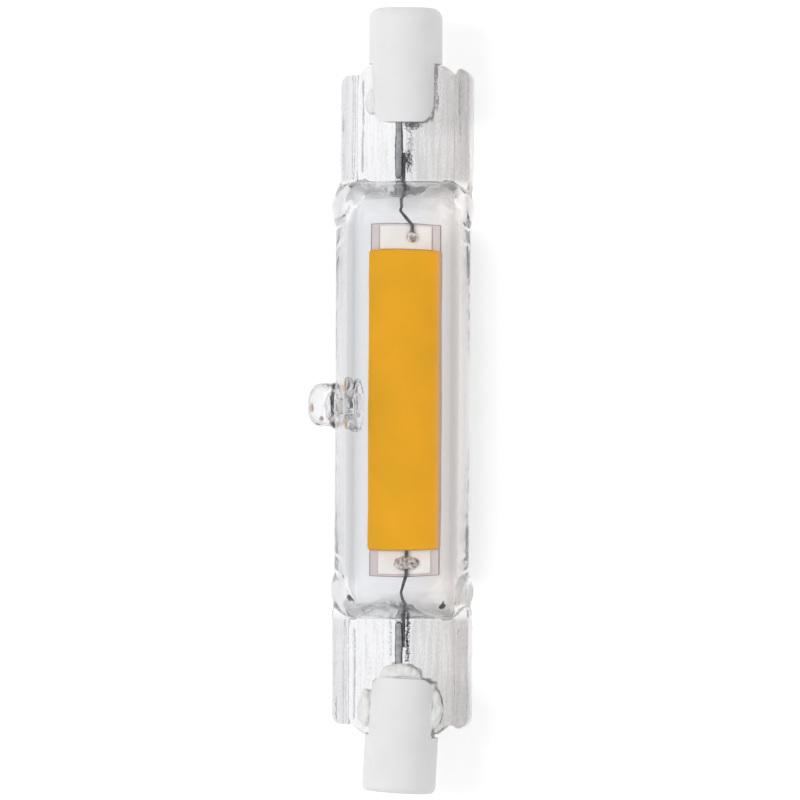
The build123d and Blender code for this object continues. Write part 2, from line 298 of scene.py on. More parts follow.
class Tree:
    """A material's node tree while it is being wired up."""

    def __init__(self, name: str) -> None:
        """Start an empty tree with its output.

        Args:
            name: the material's name.
        """
        self.material = bpy.data.materials.new(name)
        self.material.use_nodes = True
        self.nodes = self.material.node_tree.nodes
        self.links = self.material.node_tree.links
        self.nodes.clear()
        self.output = self.nodes.new("ShaderNodeOutputMaterial")

    @classmethod
    def of_world(cls, world: bpy.types.World) -> "Tree":
        """The emptied tree of a world, with its output.

        Args:
            world: the world to wire up.

        Returns:
            The tree.
        """
        world.use_nodes = True
        tree = cls.__new__(cls)
        tree.nodes, tree.links = world.node_tree.nodes, world.node_tree.links
        tree.nodes.clear()
        tree.output = tree.nodes.new("ShaderNodeOutputWorld")
        return tree

    def add(self, kind: str, **settings) -> bpy.types.Node:
        """Add a node.

        Args:
            kind: the node's type, without the ShaderNode prefix.
            settings: properties of the node.

        Returns:
            The new node.
        """
        node = self.nodes.new("ShaderNode" + kind)
        for key, value in settings.items():
            setattr(node, key, value)
        return node

    def set(self, node: bpy.types.Node, **values) -> bpy.types.Node:
        """Set a node's input sockets, named with _ for spaces.

        Args:
            node: the node to set.
            values: the value of each input.

        Returns:
            The same node.
        """
        for key, value in values.items():
            node.inputs[key.replace("_", " ")].default_value = value
        return node

    def link(self, source: Socket, target: Socket) -> None:
        """Wire one socket to another."""
        self.links.new(source, target)

    def place(self, scale: Triple) -> Socket:
        """Object coordinates, scaled per axis so that one unit is one pattern cell.

        Args:
            scale: cells per metre along X, Y and Z.

        Returns:
            The socket that gives the coordinates.
        """
        coordinates = self.add("TexCoord")
        mapping = self.set(self.add("Mapping"), Scale=scale)
        self.link(coordinates.outputs["Object"], mapping.inputs["Vector"])
        return mapping.outputs["Vector"]

    def grain(self, scale: Triple, detail: float = 3.0) -> Socket:
        """Noise in object coordinates.

        Args:
            scale: cells per metre along X, Y and Z.
            detail: how many octaves the noise has.

        Returns:
            The socket that gives the noise's value.
        """
        noise = self.set(self.add("TexNoise"), Scale=1.0, Detail=detail)
        self.link(self.place(scale), noise.inputs["Vector"])
        return noise.outputs["Fac"]

    def ramp(
        self, value: Socket, low: float, high: float, start: Triple, end: Triple
    ) -> Socket:
        """A colour that passes from one to another as a value rises.

        Args:
            value: the socket to read.
            low: the value where the first colour ends.
            high: the value where the second colour begins.
            start: the first colour.
            end: the second colour.

        Returns:
            The socket that gives the colour.
        """
        ramp = self.add("ValToRGB")
        ramp.color_ramp.elements[0].position = low
        ramp.color_ramp.elements[0].color = (*start, 1)
        ramp.color_ramp.elements[1].position = high
        ramp.color_ramp.elements[1].color = (*end, 1)
        self.link(value, ramp.inputs["Fac"])
        return ramp.outputs["Color"]

    def bands(self, value: Socket, *stops: tuple[float, float]) -> Socket:
        """A grey level that passes through several stops as a value rises.

        Args:
            value: the socket to read.
            stops: each stop's value and its level, in rising order.

        Returns:
            The socket that gives the level.
        """
        ramp = self.add("ValToRGB")
        elements = ramp.color_ramp.elements
        while len(elements) < len(stops):
            elements.new(1.0)
        for element, (position, level) in zip(elements, stops):
            element.position = position
            element.color = (level, level, level, 1)
        self.link(value, ramp.inputs["Fac"])
        return ramp.outputs["Color"]

    def blend(self, share: Socket, first: Socket | Triple, second: Socket | Triple) -> Socket:
        """A colour mixed from two, each a socket or a plain colour, by a share from 0 to 1.

        Args:
            share: the socket that gives the second colour's share.
            first: the first colour.
            second: the second colour.

        Returns:
            The socket that gives the colour.
        """
        mix = self.add("Mix", data_type="RGBA")
        self.link(share, mix.inputs["Factor"])
        for socket, colour in zip((mix.inputs[6], mix.inputs[7]), (first, second)):
            if isinstance(colour, Socket):
                self.link(colour, socket)
            else:
                socket.default_value = (*colour, 1)
        return mix.outputs[2]

    def tinted(self, colour: Socket, level: Socket) -> Socket:
        """A colour multiplied by another or by a grey level.

        Args:
            colour: the socket that gives the colour.
            level: the socket that gives the other.

        Returns:
            The socket that gives the product.
        """
        product = self.add("VectorMath", operation="MULTIPLY")
        self.link(colour, product.inputs[0])
        self.link(level, product.inputs[1])
        return product.outputs["Vector"]

    def bump(self, height: Socket, depth: float, shader: bpy.types.Node) -> None:
        """Bump a shader's surface.

        Args:
            height: the socket that gives the height, from 0 to 1.
            depth: how deep a full step of height is, in metres.
            shader: the shader to bump.
        """
        bump = self.set(self.add("Bump"), Strength=1.0, Distance=depth)
        self.link(height, bump.inputs["Height"])
        self.link(bump.outputs["Normal"], shader.inputs["Normal"])

    def math(self, operation: str, first: Socket, second: Socket | float) -> Socket:
        """Arithmetic on a socket and another socket or a number.

        Args:
            operation: the kind of arithmetic.
            first: the first socket.
            second: the second socket, or a number.

        Returns:
            The socket that gives the result.
        """
        node = self.add("Math", operation=operation)
        self.link(first, node.inputs[0])
        if isinstance(second, (int, float)):
            node.inputs[1].default_value = second
        else:
            self.link(second, node.inputs[1])
        return node.outputs[0]

    def fade(self, value: Socket, start: float, end: float) -> Socket:
        """A mask that passes from 0 to 1 as a length goes from start to end, in millimetres.

        Args:
            value: the socket that gives the length, in metres.
            start: the length where the mask is 0.
            end: the length where it is 1.

        Returns:
            The socket that gives the mask.
        """
        step = self.set(self.add("MapRange"), From_Min=start * MM, From_Max=end * MM, To_Min=0.0, To_Max=1.0)
        self.link(value, step.inputs["Value"])
        return step.outputs["Result"]

    def along(self, axis: str) -> Socket:
        """The object coordinate along X, Y or Z.

        Args:
            axis: X, Y or Z.

        Returns:
            The socket that gives it, in metres.
        """
        coordinates = self.add("TexCoord")
        parts = self.add("SeparateXYZ")
        self.link(coordinates.outputs["Object"], parts.inputs[0])
        return parts.outputs[axis]

    def near(self, middle: Triple, radius: float) -> Socket:
        """A soft round mask about a point, both in millimetres.

        Args:
            middle: the point.
            radius: the distance where the mask ends.

        Returns:
            The socket that gives the mask.
        """
        coordinates = self.add("TexCoord")
        reach = self.add("VectorMath", operation="DISTANCE")
        self.link(coordinates.outputs["Object"], reach.inputs[0])
        reach.inputs[1].default_value = [value * MM for value in middle]
        return self.fade(reach.outputs["Value"], radius, 0.6 * radius)

    def finish(self, shader: bpy.types.Node) -> bpy.types.Material:
        """Wire a shader to the output and give the material."""
        self.link(shader.outputs[0], self.output.inputs["Surface"])
        return self.material


@dataclass(frozen=True)
class ClearGlass:
    """Clear glass, streaked and grainy on the pressed ends, that lets lamp light through to the strip.

    Sizes are in millimetres and pattern cells are per metre. The cool tint lies on the tip's side and the warm
    one, painted warm light from the coat, on the other. A reach is where something begins and where it is full,
    across the lamp or, for the pressed ends, along it. The rim and the streaks are stops of level; the rim's
    are painted shade towards the tube's rim. The pressed ends also carry painted shade on their far side and
    along their rails.
    Each frosted patch is a middle and a radius.
    middle and a radius.
    """

    cool: Triple = (0.93, 0.935, 0.95)
    # Painted warm light from the coat, on the side away from the tip.
    warm: Triple = (0.95, 0.925, 0.91)
    haze: Triple = (0.97, 0.965, 0.95)
    index: float = 1.47
    # Painted shade: the tube darker where its surface turns away from the look, towards its rim.
    rim: tuple[tuple[float, float], ...] = (
        (0.14, 1.0), (0.2, 0.94), (0.27, 0.9), (0.35, 0.79), (0.42, 0.66),
        (0.48, 0.52), (0.57, 0.54), (0.68, 0.66), (0.78, 0.84), (0.88, 0.96),
    )
    painted_warm_reach: tuple[float, float] = (1.0, 5.0)
    pressed_reach: tuple[float, float] = (21.2, 22.0)
    relief_depth: float = 0.026
    streak_cells: Triple = (150, 2600, 2600)
    grain_cells: Triple = (3500, 7000, 7000)
    streak_share: float = 0.6
    streaks: tuple[tuple[float, float], ...] = ((0.34, 0.76), (0.5, 0.95))
    # Painted shade on the pressed ends' side away from the tip: darker there, with deeper streaks.
    shaded_reach: tuple[float, float] = (-0.5, 1.5)
    shaded_level: float = 0.89
    shaded_streaks: float = 0.095
    # Painted shade along the pressed ends' thick rails.
    rail_shade_reach: tuple[float, float] = (4.9, 5.4)
    rail_shade_level: float = 0.85
    frost: tuple[tuple[Triple, float], ...] = (((-21.0, 6.5, 0.6), 1.2), ((19.4, 6.8, 0.6), 1.6))
    frost_cells: Triple = (1500, 1500, 1500)
    frost_cloud: tuple[tuple[float, float], ...] = ((0.35, 0.5), (0.6, 1.0))
    frost_roughness: float = 0.7
    frost_cover: float = 0.75

    def relief(self, tree: Tree) -> Socket:
        """Streaks along the lamp with a fine grain on them, from 0 to 1.

        Args:
            tree: the material's tree.

        Returns:
            The socket that gives their height.
        """
        streaks = tree.math("MULTIPLY", tree.grain(self.streak_cells, 2.0), self.streak_share)
        grain = tree.math("MULTIPLY", tree.grain(self.grain_cells, 2.0), 1 - self.streak_share)
        return tree.math("ADD", streaks, grain)

    def tint(
        self, tree: Tree, pressed: Socket, relief: Socket
    ) -> Socket:
        """The glass's colour: by side, with painted warm light on one side, painted shade towards the tube's
        rim, and where it is pressed, streaks with painted shade on the far side and along the rails.

        Args:
            tree: the material's tree.
            pressed: one on the pressed ends.
            relief: the streaks and grain.

        Returns:
            The socket that gives the colour.
        """
        across = tree.along("Y")
        # The tint passes from cool to painted warm light from the coat across the lamp.
        side = tree.blend(tree.fade(across, *self.painted_warm_reach), self.cool, self.warm)
        # Painted shade towards the tube's rim, by how slanted the look is.
        facing = tree.add("LayerWeight")
        blown = tree.tinted(side, tree.bands(facing.outputs["Facing"], *self.rim))
        # Painted shade on the far side of the pressed ends, darker and with deeper streaks.
        shaded = tree.fade(across, *self.shaded_reach)
        lowered = tree.math("SUBTRACT", relief, tree.math("MULTIPLY", shaded, self.shaded_streaks))
        # Painted shade along the thick rails.
        rails = tree.fade(tree.math("ABSOLUTE", across, 0.0), *self.rail_shade_reach)
        pressed_tint = side
        for level in (
            tree.bands(shaded, (0.0, 1.0), (1.0, self.shaded_level)),
            tree.bands(lowered, *self.streaks),
            tree.bands(rails, (0.0, 1.0), (1.0, self.rail_shade_level)),
        ):
            pressed_tint = tree.tinted(pressed_tint, level)
        return tree.blend(pressed, blown, pressed_tint)

    def frosted(self, tree: Tree) -> Socket:
        """A cloudy mask over the frosted patches.

        Args:
            tree: the material's tree.

        Returns:
            The socket that gives the mask.
        """
        cloud = tree.bands(tree.grain(self.frost_cells, 3.0), *self.frost_cloud)
        mask = None
        for middle, radius in self.frost:
            patch = tree.math("MULTIPLY", tree.near(middle, radius), cloud)
            mask = patch if mask is None else tree.math("MAXIMUM", mask, patch)
        return mask

    def material(self) -> bpy.types.Material:
        """The glass as a material.

        Returns:
            The material.
        """
        tree = Tree("clear_glass")
        glass = tree.set(tree.add("BsdfPrincipled"), IOR=self.index)
        pressed = tree.fade(tree.math("ABSOLUTE", tree.along("X"), 0.0), *self.pressed_reach)
        relief = self.relief(tree)
        tree.bump(tree.math("MULTIPLY", relief, pressed), self.relief_depth * MM, glass)
        frosted = self.frosted(tree)
        tint = tree.blend(frosted, self.tint(tree, pressed, relief), self.haze)
        tree.link(tint, glass.inputs["Base Color"])
        tree.link(tree.math("MULTIPLY", frosted, self.frost_roughness), glass.inputs["Roughness"])
        clear = tree.math("SUBTRACT", tree.math("MULTIPLY", frosted, -self.frost_cover), -1.0)
        tree.link(clear, glass.inputs["Transmission Weight"])
        mix = tree.add("MixShader")
        tree.link(tree.add("LightPath").outputs["Is Shadow Ray"], mix.inputs["Fac"])
        tree.link(glass.outputs[0], mix.inputs[1])
        tree.link(tree.add("BsdfTransparent").outputs[0], mix.inputs[2])
        return tree.finish(mix)


@dataclass(frozen=True)
class Matte:
    """A matt or satin finish with a slow drift of colour and a fine grain.

    The grain's size is in millimetres, and its depth too.
    """

    name: str
    colour: Triple
    drift: Triple
    roughness: float
    grain_size: float
    grain_depth: float
    drift_size: float = 3.0
    metallic: float = 0.0
    coat: float = 0.0
    specular: float = 0.5
    line: Triple = (0.0, 0.0, 0.0)
    lined: tuple[tuple[float, float, float, float], ...] = ()
    line_width: float = 0.1

    def outline(self, tree: Tree) -> Socket:
        """A mask of thin lines round upright boxes, each given by its middle and half sizes along X and Y.

        Args:
            tree: the material's tree.

        Returns:
            The socket that gives the mask.
        """
        places = {axis: tree.along(axis) for axis in "XY"}
        mask = None
        for x, y, half_x, half_y in self.lined:
            reach = None
            for axis, middle, half in (("X", x, half_x), ("Y", y, half_y)):
                offset = tree.math("ABSOLUTE", tree.math("SUBTRACT", places[axis], middle * MM), 0.0)
                beyond = tree.math("SUBTRACT", offset, half * MM)
                reach = beyond if reach is None else tree.math("MAXIMUM", reach, beyond)
            inner = tree.fade(reach, -self.line_width, -self.line_width / 2)
            outer = tree.fade(reach, self.line_width, self.line_width / 2)
            here = tree.math("MULTIPLY", inner, outer)
            mask = here if mask is None else tree.math("MAXIMUM", mask, here)
        return mask

    def material(self) -> bpy.types.Material:
        """The finish as a material.

        Returns:
            The material.
        """
        tree = Tree(self.name)
        shader = tree.set(
            tree.add("BsdfPrincipled"), Roughness=self.roughness, Metallic=self.metallic,
            Coat_Weight=self.coat, Specular_IOR_Level=self.specular,
        )
        cells = 1 / (self.drift_size * MM)
        fine = 1 / (self.grain_size * MM)
        tint = tree.ramp(tree.grain((cells, cells, cells)), 0.35, 0.65, self.colour, self.drift)
        if self.lined:
            tint = tree.blend(self.outline(tree), tint, self.line)
        tree.link(tint, shader.inputs["Base Color"])
        tree.bump(tree.grain((fine, fine, fine), 4.0), self.grain_depth * MM, shader)
        return tree.finish(shader)


CAP_CERAMIC = Matte("cap_ceramic", (0.915, 0.915, 0.925), (0.885, 0.885, 0.89), 0.5, 0.6, 0.01, coat=0.1)
CEMENT = Matte("white_cement", (0.95, 0.95, 0.94), (0.88, 0.88, 0.87), 0.8, 0.25, 0.02, drift_size=0.6)
# The brownish line along the coat's edges is painted shade, standing for its side faces in shade.
COAT = Matte(
    "phosphor_silicone", (0.93, 0.43, 0.004), (0.84, 0.41, 0.002), 0.42, 1.5, 0.02, drift_size=5,
    specular=0.25, line=(0.66, 0.42, 0.26), lined=((0.0, -2.0, 18.0, 5.85),), line_width=0.35,
)
STRIP = Matte(
    "strip_ceramic", (0.76, 0.7, 0.71), (0.7, 0.64, 0.65), 0.5, 0.4, 0.01,
    line=(0.3, 0.22, 0.2), lined=((0.0, 0.2, 17.7, 3.55),), line_width=0.12,
)
SILVER = Matte(
    "silver_film", (0.96, 0.95, 0.92), (0.9, 0.87, 0.82), 0.4, 0.3, 0.01, drift_size=1.5,
    line=(0.5, 0.38, 0.32), lined=((-16.25, 0.2, 1.25, 2.7), (16.2, 0.2, 1.25, 2.75)), line_width=0.12,
)
# The dark lines round each rod are painted shade along its rounded sides.
LEAD = Matte(
    "drawn_rod", (0.66, 0.67, 0.7), (0.42, 0.43, 0.46), 0.4, 0.4, 0.02, drift_size=0.5, metallic=0.3,
    line=(0.16, 0.165, 0.18), line_width=0.16,
)
WIRE = Matte("thin_wire", (0.24, 0.23, 0.23), (0.1, 0.1, 0.1), 0.45, 0.3, 0.02, drift_size=0.5, metallic=0.4)
NICKEL = Matte("nickel_contact", (0.6, 0.58, 0.54), (0.5, 0.48, 0.44), 0.3, 0.5, 0.01, metallic=1.0)
# Solder: its own grey-brown with near-white blotches that are painted highlights.
SOLDER_PAINTED_GLINTS = Matte(
    "solder_painted_glints", (0.99, 0.96, 0.95), (0.3, 0.23, 0.21), 0.2, 0.4, 0.05, drift_size=0.42, metallic=0.3,
)
SPATTER = Matte(
    "weld_spatter", (0.14, 0.14, 0.15), (0.06, 0.06, 0.065), 0.6, 0.2, 0.01, drift_size=0.3, metallic=0.3,
)
# Grey grains: a real smudge at the welds, and painted shade under the left cap's nose.
SMUDGE_AND_SHADE = Matte("smudge_and_painted_shade", (0.42, 0.42, 0.44), (0.3, 0.3, 0.32), 0.8, 0.2, 0.01, drift_size=0.3)
SPECK = Matte("dark_speck", (0.02, 0.02, 0.025), (0.05, 0.05, 0.055), 0.6, 0.2, 0.02, drift_size=0.3)
TAN = Matte("tan_speck", (0.74, 0.62, 0.54), (0.56, 0.43, 0.36), 0.6, 0.2, 0.01, drift_size=0.3)
CHIP = Matte("chip_crystal", (0.4, 0.5, 0.75), (0.3, 0.4, 0.7), 0.1, 0.5, 0.0)
SILICON = Matte("bare_die", (0.05, 0.05, 0.06), (0.08, 0.08, 0.1), 0.15, 0.5, 0.0)


# Glass envelope


@dataclass
class PressSeal:
    """One pressed end of the tube: a web with a tongue, two thick rails and a rib beside each."""

    end: End
    width: float
    shift: float
    near_rail_end: float
    far_rail_end: float
    start: float = 20.5
    web_end: float = 32.3
    tongue_reach: float = 0.9
    tongue_base: float = 9.6
    tongue_tip: float = 7.6
    web_depth: float = 2.8
    rail_depth: float = 4.0
    rail_width: float = 1.4
    rail_corner: float = 1.1
    rib_depth: float = 3.3
    rib_width: float = 0.5
    rib_gap: float = 0.42
    edge: float = 0.3
    voxel: float = 0.15

    def slab(self, name: str, reach: float, width: float, depth: float, side: float) -> Piece:
        """A block along the seal.

        Args:
            name: the block's name.
            reach: how far out it ends.
            width: its width.
            depth: its depth.
            side: how far its middle lies from the seal's, away from the tip.

        Returns:
            The block, with sharp edges.
        """
        clear_selection()
        middle = self.end.value * (self.start + reach) / 2
        bpy.ops.mesh.primitive_cube_add(size=1, location=(middle * MM, (self.shift + side) * MM, 0))
        block = bpy.context.object
        block.scale = ((reach - self.start) * MM, width * MM, depth * MM)
        return settle(block, name)

    def web(self) -> Piece:
        """The web, with the tongue that goes into the cap's slot.

        Returns:
            The web, with sharp edges.
        """
        way = self.end.value
        web = self.slab("web", self.web_end, self.width - self.rail_width, self.web_depth, 0)
        bpy.ops.object.mode_set(mode="EDIT")
        pick(web, "FACE", lambda centre, normal: normal.x * way > 0.9)
        middle = (way * self.web_end, self.shift, 0)
        base = self.tongue_base / (self.width - self.rail_width)
        draw_out((0, 0, 0), (1, base, 1), middle)
        draw_out((way * self.tongue_reach, 0, 0), (1, self.tongue_tip / self.tongue_base, 1), middle)
        bpy.ops.object.mode_set(mode="OBJECT")
        return web

    def rail(self, side: int, reach: float) -> Piece:
        """A rail, its outer corner well rounded.

        Args:
            side: -1 on the tip's side, 1 on the other.
            reach: how far out it ends.

        Returns:
            The rail.
        """
        way = self.end.value
        place = side * (self.width - self.rail_width) / 2
        rail = self.slab("rail", reach, self.rail_width, self.rail_depth, place)
        bpy.ops.object.mode_set(mode="EDIT")
        pick(
            rail, "EDGE",
            lambda middle, line: abs(line.z) > 0.9 and middle.x * way > (reach - 0.1) * MM
            and (middle.y - (self.shift + place) * MM) * side > 0,
        )
        bpy.ops.mesh.bevel(offset=self.rail_corner * MM, segments=6, affect="EDGES")
        bpy.ops.object.mode_set(mode="OBJECT")
        return rail

    def build(self) -> Piece:
        """The seal as it comes out of the jaws: edges melted round, faces streaked along its length.

        Returns:
            The seal.
        """
        blocks = [self.web(), self.rail(-1, self.near_rail_end), self.rail(1, self.far_rail_end)]
        for side in (-1, 1):
            place = self.width / 2 - self.rail_width - self.rib_gap - self.rib_width / 2
            blocks.append(self.slab("rib", self.web_end - 0.4, self.rib_width, self.rib_depth, side * place))
        for block in blocks:
            modify(
                block, "BEVEL", width=self.edge * MM, segments=3, limit_method="ANGLE",
                angle_limit=radians(50),
            )
        seal = join(blocks, f"{self.end.label}_seal")
        modify(seal, "REMESH", mode="VOXEL", voxel_size=self.voxel * MM)
        modify(seal, "SMOOTH", factor=0.5, iterations=7)
        roughen(seal, (7, 0.5, 3), 0.12)
        roughen(seal, (1.6, 1.1, 1.6), 0.1)
        return seal


@dataclass
class Envelope:
    """The blown and pressed glass: tube, shoulders, press seals and exhaust tip, in one piece."""

    tube_radius: float = 6.7
    tube_wall: float = 1.0
    tube_half_length: float = 17.2
    shoulder_length: float = 4.4
    shoulder_bulge: float = 0.5
    foot_half_width: float = 6.5
    foot_half_depth: float = 1.9
    void_end: float = 21.0
    void_half_width: float = 4.9
    void_half_depth: float = 0.3
    tip_distance: float = 0.55
    tip_radius: float = 2.15
    tip_reach: float = 2.68
    tip_rounding: float = 1.3
    tip_flare: float = 0.55
    flare_length: float = 1.6
    flare_steps: int = 5
    tip_bore: float = 1.25
    tip_end_wall: float = 1.5
    collar_radius: float = 2.7
    collar_reach: float = 1.35
    collar_rounding: float = 1.2
    bore_rounding: float = 0.6
    throat_radius: float = 0.5
    throat_start: float = 20.6
    throat_end: float = 22.6
    drops: tuple[tuple[float, float, float, float], ...] = (
        (2.45, -4.6, 0.5, 1.0),
        (-1.5, -4.7, 0.42, 1.9),
    )
    outer_lumps: tuple[Triple, float] = ((2.6, 3.4, 3.4), 0.14)
    void_lumps: tuple[Triple, float] = ((1.8, 3.0, 1.8), 0.42)
    worked_voxel: float = 0.12
    worked_lumps: tuple[Triple, float] = ((0.9, 0.9, 0.9), 0.22)
    joint_reach: tuple[float, float] = (19.6, 22.6)
    overlap: float = 0.4
    facets: int = 128
    rings: int = 14
    seals: tuple[PressSeal, ...] = (
        PressSeal(End.LEFT, 13.0, 0.35, 32.3, 32.9),
        PressSeal(End.RIGHT, 13.7, 0.1, 32.3, 32.6),
    )

    def round_form(self, name: str, radius: float, section: Callable[[float], Triple]) -> Piece:
        """A tube's solid with both ends drawn out through oval sections.

        Args:
            name: the form's name.
            radius: the radius of its straight part.
            section: a function of the share of the way out, giving the distance and the two half sizes.

        Returns:
            The form.
        """
        clear_selection()
        bpy.ops.mesh.primitive_cylinder_add(
            vertices=self.facets, radius=radius * MM, depth=2 * self.tube_half_length * MM,
            end_fill_type="NGON", rotation=(0, pi / 2, 0),
        )
        form = settle(bpy.context.object, name)
        for end in End:
            bpy.ops.object.mode_set(mode="EDIT")
            way = end.value
            pick(form, "FACE", lambda centre, normal: normal.x * way > 0.9)
            x, half_width, half_depth = self.tube_half_length, radius, radius
            for ring in range(1, self.rings + 1):
                next_x, next_width, next_depth = section(ring / self.rings)
                scale = (1, next_width / half_width, next_depth / half_depth)
                draw_out((way * (next_x - x), 0, 0), scale, (way * next_x, 0, 0))
                x, half_width, half_depth = next_x, next_width, next_depth
            bpy.ops.object.mode_set(mode="OBJECT")
        return form

    def outside(self, share: float) -> Triple:
        """The shoulder's outside at a share of its length: distance, half width, half depth.

        Args:
            share: the share of the way out, from 0 to 1.

        Returns:
            The three sizes.
        """
        across = sin(pi * share / 2)
        distance = self.tube_half_length + self.shoulder_length * across
        bulge = self.shoulder_bulge * sin(pi * min(1, 1.15 * across))
        fall = sqrt(max(0.0, 1 - across**2))
        width = self.foot_half_width + (self.tube_radius - self.foot_half_width) * fall + bulge
        depth = self.foot_half_depth + (self.tube_radius - self.foot_half_depth) * fall
        return distance, width, depth

    def inside(self, share: float) -> Triple:
        """The void's end at a share of its length: distance, half width, half depth.

        Args:
            share: the share of the way out, from 0 to 1.

        Returns:
            The three sizes.
        """
        across = sin(pi * share / 2)
        bore = self.tube_radius - self.tube_wall
        distance = self.tube_half_length + (self.void_end - self.tube_half_length) * across
        fall = sqrt(max(0.0, 1 - across**2))
        width = self.void_half_width + (bore - self.void_half_width) * fall**0.5
        depth = self.void_half_depth + (bore - self.void_half_depth) * fall
        return distance, width, depth

    def distort(self, form: Piece, size: Triple, depth: float) -> None:
        """Make a round form's drawn-out ends uneven, and leave its straight part true.

        Args:
            form: the form.
            size: the size of the unevenness along X, Y and Z.
            depth: its depth.
        """
        take(form)
        bpy.ops.object.mode_set(mode="EDIT")
        pick(form, "VERT", lambda place: abs(place.x) > (self.tube_half_length + 0.9) * MM)
        bpy.ops.object.vertex_group_assign_new()
        bpy.ops.object.vertex_group_smooth(group_select_mode="ACTIVE", factor=0.5, repeat=8)
        bpy.ops.object.mode_set(mode="OBJECT")
        roughen(form, size, depth, form.vertex_groups.active.name)

    def turned(self, name: str, radius: float, start: float, end: float, rounding: float) -> Piece:
        """A round rod square to the lamp, towards the tip, with its outer rim rounded.

        Args:
            name: the rod's name.
            radius: its radius.
            start: where it starts, from the lamp's axis.
            end: where it ends.
            rounding: the radius of its outer rim.

        Returns:
            The rod.
        """
        clear_selection()
        bpy.ops.mesh.primitive_cylinder_add(
            vertices=56, radius=radius * MM, depth=(end - start) * MM, end_fill_type="NGON",
            location=(self.tip_distance * MM, -(start + end) / 2 * MM, 0), rotation=(pi / 2, 0, 0),
        )
        rod = settle(bpy.context.object, name)
        bpy.ops.object.mode_set(mode="EDIT")
        pick(rod, "FACE", lambda centre, normal: normal.y < -0.9)
        bpy.ops.mesh.bevel(offset=rounding * MM, segments=8, affect="EDGES")
        bpy.ops.object.mode_set(mode="OBJECT")
        return rod

    def tip(self) -> Piece:
        """The outside of the exhaust tip, flared where it leaves the tube.

        Returns:
            The tip.
        """
        flare_start = self.tube_radius + self.tip_flare
        tip_end = self.tube_radius + self.tip_reach
        tip = self.turned("tip", self.tip_radius, flare_start, tip_end, self.tip_rounding)
        bpy.ops.object.mode_set(mode="EDIT")
        pick(tip, "FACE", lambda centre, normal: normal.y > 0.9)
        radius = self.tip_radius
        steps = self.flare_steps
        for step in range(1, steps + 1):
            wider = self.tip_radius + self.tip_flare * (1 - cos(pi / 2 * step / steps))
            move = (0, self.flare_length * self.tip_flare / steps, 0)
            draw_out(move, (wider / radius, 1, wider / radius), (self.tip_distance, 0, 0))
            radius = wider
        bpy.ops.object.mode_set(mode="OBJECT")
        return self.worked(tip)

    def worked(self, form: Piece) -> Piece:
        """A flame-worked form: its edges flow and its surface is uneven but never crosses itself.

        Args:
            form: the form with its edges sharp.

        Returns:
            The same form.
        """
        modify(form, "REMESH", mode="VOXEL", voxel_size=self.worked_voxel * MM)
        modify(form, "SMOOTH", factor=0.5, iterations=3)
        roughen(form, *self.worked_lumps)
        modify(form, "REMESH", mode="VOXEL", voxel_size=self.worked_voxel * MM)
        modify(form, "SMOOTH", factor=0.5, iterations=2)
        return form

    def soften_joints(self, form: Piece) -> None:
        """Melt the creases where the press seals leave the shoulders.

        Args:
            form: the envelope in one piece.
        """
        take(form)
        bpy.ops.object.mode_set(mode="EDIT")
        start, end = (reach * MM for reach in self.joint_reach)
        pick(form, "VERT", lambda place: start < abs(place.x) < end)
        bpy.ops.mesh.vertices_smooth(factor=0.5, repeat=16)
        bpy.ops.object.mode_set(mode="OBJECT")

    def drop(self, x: float, y: float, radius: float, stretch: float) -> Piece:
        """A drop of glass on the tube's inner wall, on its upper side.

        Args:
            x: its place along the tube.
            y: its place across the tube.
            radius: its radius.
            stretch: how many times longer than wide it is.

        Returns:
            The drop.
        """
        bore = self.tube_radius - self.tube_wall
        clear_selection()
        height = sqrt(bore**2 - y**2) - 0.3 * radius
        bpy.ops.mesh.primitive_uv_sphere_add(segments=24, ring_count=16, radius=radius * MM)
        drop = bpy.context.object
        drop.location = (x * MM, y * MM, height * MM)
        drop.scale = (stretch, 1, 1)
        return settle(drop, "drop")

    def throat(self, node: str) -> Piece:
        """The round pocket where a lead comes out of the glass, in line with that lead.

        Args:
            node: the lead rod that it surrounds.

        Returns:
            The pocket's form.
        """
        low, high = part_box(node)
        middle = (low + high) / 2
        way = 1 if middle.x > 0 else -1
        clear_selection()
        bpy.ops.mesh.primitive_cylinder_add(
            vertices=32, radius=self.throat_radius * MM, depth=(self.throat_end - self.throat_start) * MM,
            end_fill_type="NGON", rotation=(0, pi / 2, 0),
            location=(way * (self.throat_start + self.throat_end) / 2 * MM, middle.y, middle.z),
        )
        throat = settle(bpy.context.object, "throat")
        bpy.ops.object.mode_set(mode="EDIT")
        pick(throat, "FACE", lambda centre, normal: normal.x * way > 0.9)
        bpy.ops.mesh.bevel(offset=0.8 * self.throat_radius * MM, segments=4, affect="EDGES")
        bpy.ops.object.mode_set(mode="OBJECT")
        return throat

    def build(self) -> Piece:
        """The whole envelope, with its void and bore, as one closed piece.

        Returns:
            The finished piece.
        """
        bore = self.tube_radius - self.tube_wall
        tip_end = self.tube_radius + self.tip_reach
        envelope = self.round_form("glass_tube", self.tube_radius, self.outside)
        self.distort(envelope, *self.outer_lumps)
        for seal in self.seals:
            apply_boolean(envelope, seal.build(), "UNION")
        apply_boolean(envelope, self.tip(), "UNION")
        void = self.round_form("void", bore, self.inside)
        self.distort(void, *self.void_lumps)
        apply_boolean(envelope, void, "DIFFERENCE")
        collar_end, collar_root = bore - self.collar_reach, bore + self.overlap
        collar = self.turned("collar", self.collar_radius, collar_end, collar_root, self.collar_rounding)
        apply_boolean(envelope, self.worked(collar), "UNION")
        bore_end = tip_end - self.tip_end_wall
        well = self.turned("bore", self.tip_bore, collar_end - 1, bore_end, self.bore_rounding)
        apply_boolean(envelope, self.worked(well), "DIFFERENCE")
        for place in self.drops:
            apply_boolean(envelope, self.drop(*place), "UNION")
        for end in End:
            apply_boolean(envelope, self.throat(f"{end.label}_outer_lead"), "DIFFERENCE")
        self.soften_joints(envelope)
        smooth(envelope, 40)
        dress(envelope, ClearGlass().material())
        seat(envelope, "clear_glass", "glass_envelope")
        return envelope


# Cement, coat and solder


